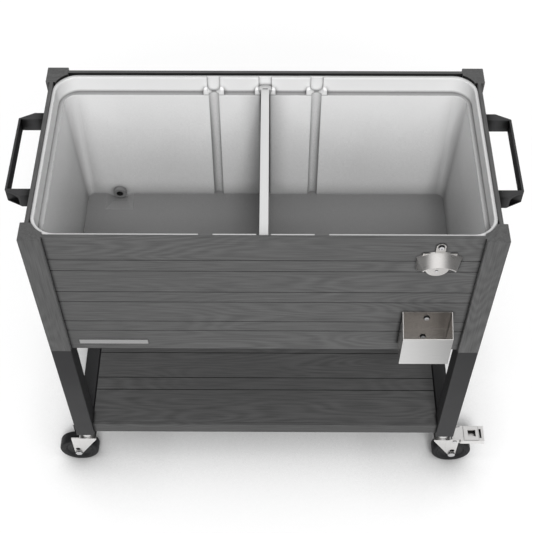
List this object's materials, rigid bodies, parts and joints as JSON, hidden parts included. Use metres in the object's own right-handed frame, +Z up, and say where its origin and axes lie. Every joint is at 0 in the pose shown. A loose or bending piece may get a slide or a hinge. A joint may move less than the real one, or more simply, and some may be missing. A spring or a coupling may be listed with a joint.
{
  "type": "patio cooler cart",
  "caption": "Wheeled patio cooler: insulated tub with lift-out divider in a planked cabinet on legs, with shelf, side handles, bottle opener, cap catcher and locking casters.",
  "frame": {"origin": "on the floor under the middle of the four corner posts", "axes": "+X along the length to the right, +Y from the front to the back, +Z up"},
  "size_m": [0.964, 0.493, 0.838],
  "materials": {
    "grained_post": "embossed wood grain, painted dark grey",
    "grained_panel": "embossed wood grain, painted dark grey",
    "grained_shelf": "embossed wood grain, painted dark grey",
    "leg_coat": "smooth satin powder coat",
    "caster_steel": "bright zinc plate",
    "axle_steel": "bright zinc plate",
    "wheel_rubber": "matt black",
    "insulation": "closed-cell foam",
    "tray_steel": "satin paint",
    "tub_plastic": "satin moulded plastic",
    "divider_plastic": "satin moulded plastic",
    "drain_plastic": "satin moulded plastic",
    "seal_rubber": "soft rubber",
    "handle_plastic": "fine moulded texture",
    "stainless": "brushed stainless steel",
    "screw_steel": "polished stainless steel",
    "strip_metal": "brushed, bare"
  },
  "bodies": {
    "cabinet": {"bottle_opener": "stainless", "bottom_tray": "tray_steel", "cap_catcher": "stainless", "caster_stem_front_left": "caster_steel", "caster_stem_front_right": "caster_steel", "caster_stem_rear_left": "caster_steel", "caster_stem_rear_right": "caster_steel", "catcher_screws": "screw_steel", "drain_nut": "drain_plastic", "drain_seal": "seal_rubber", "drain_spout": "drain_plastic", "foam_base": "insulation", "foam_front": "insulation", "foam_left": "insulation", "foam_rear": "insulation", "foam_right": "insulation", "front_strip": "strip_metal", "handle_left": "handle_plastic", "handle_right": "handle_plastic", "handle_screws": "screw_steel", "ice_tub": "tub_plastic", "leg_front_left": "leg_coat", "leg_front_right": "leg_coat", "leg_grub_screws": "screw_steel", "leg_rear_left": "leg_coat", "leg_rear_right": "leg_coat", "opener_screws": "screw_steel", "panel_front": "grained_panel", "panel_left": "grained_panel", "panel_rear": "grained_panel", "panel_right": "grained_panel", "post_front_left": "grained_post", "post_front_right": "grained_post", "post_rear_left": "grained_post", "post_rear_right": "grained_post", "shelf": "grained_shelf", "shelf_rail_front": "grained_shelf", "shelf_rail_rear": "grained_shelf", "shelf_screws": "screw_steel", "shelf_tube_left": "leg_coat", "shelf_tube_right": "leg_coat"},
    "divider": {"divider": "divider_plastic"},
    "drain_cap_seal": {"cap_seal": "seal_rubber"},
    "drain_cap": {"drain_cap": "drain_plastic"},
    "fork_front_left": {"caster_fork_front_left": "caster_steel", "caster_axle_front_left": "axle_steel"},
    "wheel_front_left": {"caster_wheel_front_left": "wheel_rubber"},
    "fork_front_right": {"caster_fork_front_right": "caster_steel", "caster_axle_front_right": "axle_steel", "brake_pin_front_right": "axle_steel"},
    "wheel_front_right": {"caster_wheel_front_right": "wheel_rubber"},
    "fork_rear_left": {"caster_fork_rear_left": "caster_steel", "caster_axle_rear_left": "axle_steel"},
    "wheel_rear_left": {"caster_wheel_rear_left": "wheel_rubber"},
    "fork_rear_right": {"caster_fork_rear_right": "caster_steel", "caster_axle_rear_right": "axle_steel", "brake_pin_rear_right": "axle_steel"},
    "wheel_rear_right": {"caster_wheel_rear_right": "wheel_rubber"},
    "pedal_front_right": {"brake_pedal_front_right": "caster_steel"},
    "pedal_rear_right": {"brake_pedal_rear_right": "caster_steel"}
  },
  "joints": [
    {"name": "divider_lift", "type": "slide", "parent": "cabinet", "child": "divider", "axis": [0, 0, 1], "range_m": [0, 0.33]},
    {"name": "drain_cap_travel", "type": "slide", "parent": "cabinet", "child": "drain_cap_seal", "axis": [0, 1, 0], "range_m": [0, 0.0121]},
    {"name": "drain_cap_turn", "type": "hinge", "parent": "drain_cap_seal", "child": "drain_cap", "pos_m": [-0.313, 0.2327, 0.518], "axis": [0, 1, 0], "range_deg": [0, 1440]},
    {"name": "swivel_front_left", "type": "hinge", "parent": "cabinet", "child": "fork_front_left", "pos_m": [-0.4, -0.192, 0.1137], "axis": [0, 0, 1], "continuous": true},
    {"name": "roll_front_left", "type": "hinge", "parent": "fork_front_left", "child": "wheel_front_left", "pos_m": [-0.427, -0.192, 0.044], "axis": [0, 1, 0], "continuous": true},
    {"name": "swivel_front_right", "type": "hinge", "parent": "cabinet", "child": "fork_front_right", "pos_m": [0.4, -0.192, 0.1137], "axis": [0, 0, 1], "continuous": true},
    {"name": "roll_front_right", "type": "hinge", "parent": "fork_front_right", "child": "wheel_front_right", "pos_m": [0.427, -0.192, 0.044], "axis": [0, 1, 0], "continuous": true},
    {"name": "swivel_rear_left", "type": "hinge", "parent": "cabinet", "child": "fork_rear_left", "pos_m": [-0.4, 0.192, 0.1137], "axis": [0, 0, 1], "continuous": true},
    {"name": "roll_rear_left", "type": "hinge", "parent": "fork_rear_left", "child": "wheel_rear_left", "pos_m": [-0.427, 0.192, 0.044], "axis": [0, 1, 0], "continuous": true},
    {"name": "swivel_rear_right", "type": "hinge", "parent": "cabinet", "child": "fork_rear_right", "pos_m": [0.4, 0.192, 0.1137], "axis": [0, 0, 1], "continuous": true},
    {"name": "roll_rear_right", "type": "hinge", "parent": "fork_rear_right", "child": "wheel_rear_right", "pos_m": [0.427, 0.192, 0.044], "axis": [0, 1, 0], "continuous": true},
    {"name": "brake_front_right", "type": "hinge", "parent": "fork_front_right", "child": "pedal_front_right", "pos_m": [0.427, -0.192, 0.103], "axis": [0, 1, 0], "range_deg": [0, 9]},
    {"name": "brake_rear_right", "type": "hinge", "parent": "fork_rear_right", "child": "pedal_rear_right", "pos_m": [0.427, 0.192, 0.103], "axis": [0, 1, 0], "range_deg": [0, 9]}
  ],
  "couplings": [
    {"joint": "drain_cap_travel", "follows": "drain_cap_turn", "m_per_rad": 0.00047746}
  ]
}
